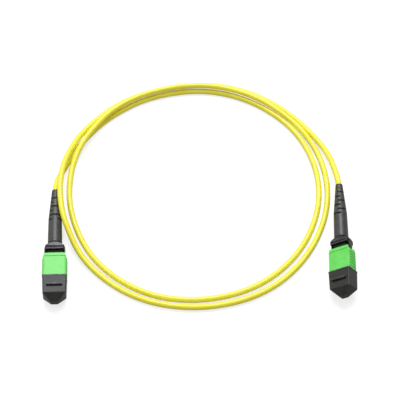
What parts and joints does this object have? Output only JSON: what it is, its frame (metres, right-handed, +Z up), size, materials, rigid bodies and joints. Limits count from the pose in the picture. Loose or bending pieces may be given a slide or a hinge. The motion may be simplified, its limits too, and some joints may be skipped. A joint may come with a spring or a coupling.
{
  "type": "fibre optic patch cord",
  "caption": "Multi-fibre push-pull patch cord: capped connectors with green sleeves and slotted boots at both ends of a loosely looped yellow round cable.",
  "frame": {"origin": "on the surface the cord lies on, at the bottom centre of the box round the two connectors", "axes": "+Z up from the surface, +X from connector A to connector B, +Y from the plugs' mating ends towards the loop of cable; each plug's mating end points to -Y"},
  "size_m": [0.1576, 0.1412, 0.0137],
  "materials": {
    "cap_plastic": "matte moulded black",
    "sleeve_plastic": "satin moulded light green",
    "housing_plastic": "satin moulded green",
    "rear_plastic": "semi-gloss moulded dark grey",
    "ferrule_plastic": "filled dark grey, polished end face",
    "boot_rubber": "matte black elastomer",
    "clamp_steel": "stamped bright",
    "spring_steel": "drawn wire",
    "crimp_metal": "nickel plated",
    "fibre_coating": "clear coated ribbon",
    "cable_jacket": "satin extruded yellow jacket"
  },
  "bodies": {
    "cord": {"a_inner_housing": "housing_plastic", "a_rear_housing": "rear_plastic", "a_crimp_ring": "crimp_metal", "a_strain_relief_boot": "boot_rubber", "a_coupling_spring_left": "spring_steel", "a_coupling_spring_right": "spring_steel", "a_ferrule_spring": "spring_steel", "b_inner_housing": "housing_plastic", "b_rear_housing": "rear_plastic", "b_crimp_ring": "crimp_metal", "b_strain_relief_boot": "boot_rubber", "b_coupling_spring_left": "spring_steel", "b_coupling_spring_right": "spring_steel", "b_ferrule_spring": "spring_steel", "fibre_cable": "cable_jacket"},
    "a_sleeve": {"a_coupling_sleeve": "sleeve_plastic"},
    "a_ferrule_set": {"a_ferrule": "ferrule_plastic", "a_ferrule_boot": "boot_rubber", "a_pin_clamp": "clamp_steel", "a_fibre_ribbon": "fibre_coating"},
    "a_cap": {"a_dust_cap": "cap_plastic"},
    "b_sleeve": {"b_coupling_sleeve": "sleeve_plastic"},
    "b_ferrule_set": {"b_ferrule": "ferrule_plastic", "b_ferrule_boot": "boot_rubber", "b_pin_clamp": "clamp_steel", "b_fibre_ribbon": "fibre_coating"},
    "b_cap": {"b_dust_cap": "cap_plastic"}
  },
  "joints": [
    {"name": "a_sleeve_slide", "type": "slide", "parent": "cord", "child": "a_sleeve", "axis": [0, 1, 0], "range_m": [0, 0.0022], "stiffness_N_per_m": 1500, "springref_m": -0.001, "deforming": ["a_coupling_spring_left", "a_coupling_spring_right"]},
    {"name": "a_ferrule_slide", "type": "slide", "parent": "cord", "child": "a_ferrule_set", "axis": [0, 1, 0], "range_m": [0, 0.001], "stiffness_N_per_m": 4000, "springref_m": -0.002, "deforming": ["a_ferrule_spring"]},
    {"name": "a_cap_pull", "type": "slide", "parent": "cord", "child": "a_cap", "axis": [0, -1, 0], "range_m": [0, 0.02]},
    {"name": "b_sleeve_slide", "type": "slide", "parent": "cord", "child": "b_sleeve", "axis": [0.0941, 0.9956, 0], "range_m": [0, 0.0022], "stiffness_N_per_m": 1500, "springref_m": -0.001, "deforming": ["b_coupling_spring_left", "b_coupling_spring_right"]},
    {"name": "b_ferrule_slide", "type": "slide", "parent": "cord", "child": "b_ferrule_set", "axis": [0.0941, 0.9956, 0], "range_m": [0, 0.001], "stiffness_N_per_m": 4000, "springref_m": -0.002, "deforming": ["b_ferrule_spring"]},
    {"name": "b_cap_pull", "type": "slide", "parent": "cord", "child": "b_cap", "axis": [-0.0941, -0.9956, 0], "range_m": [0, 0.02]}
  ]
}
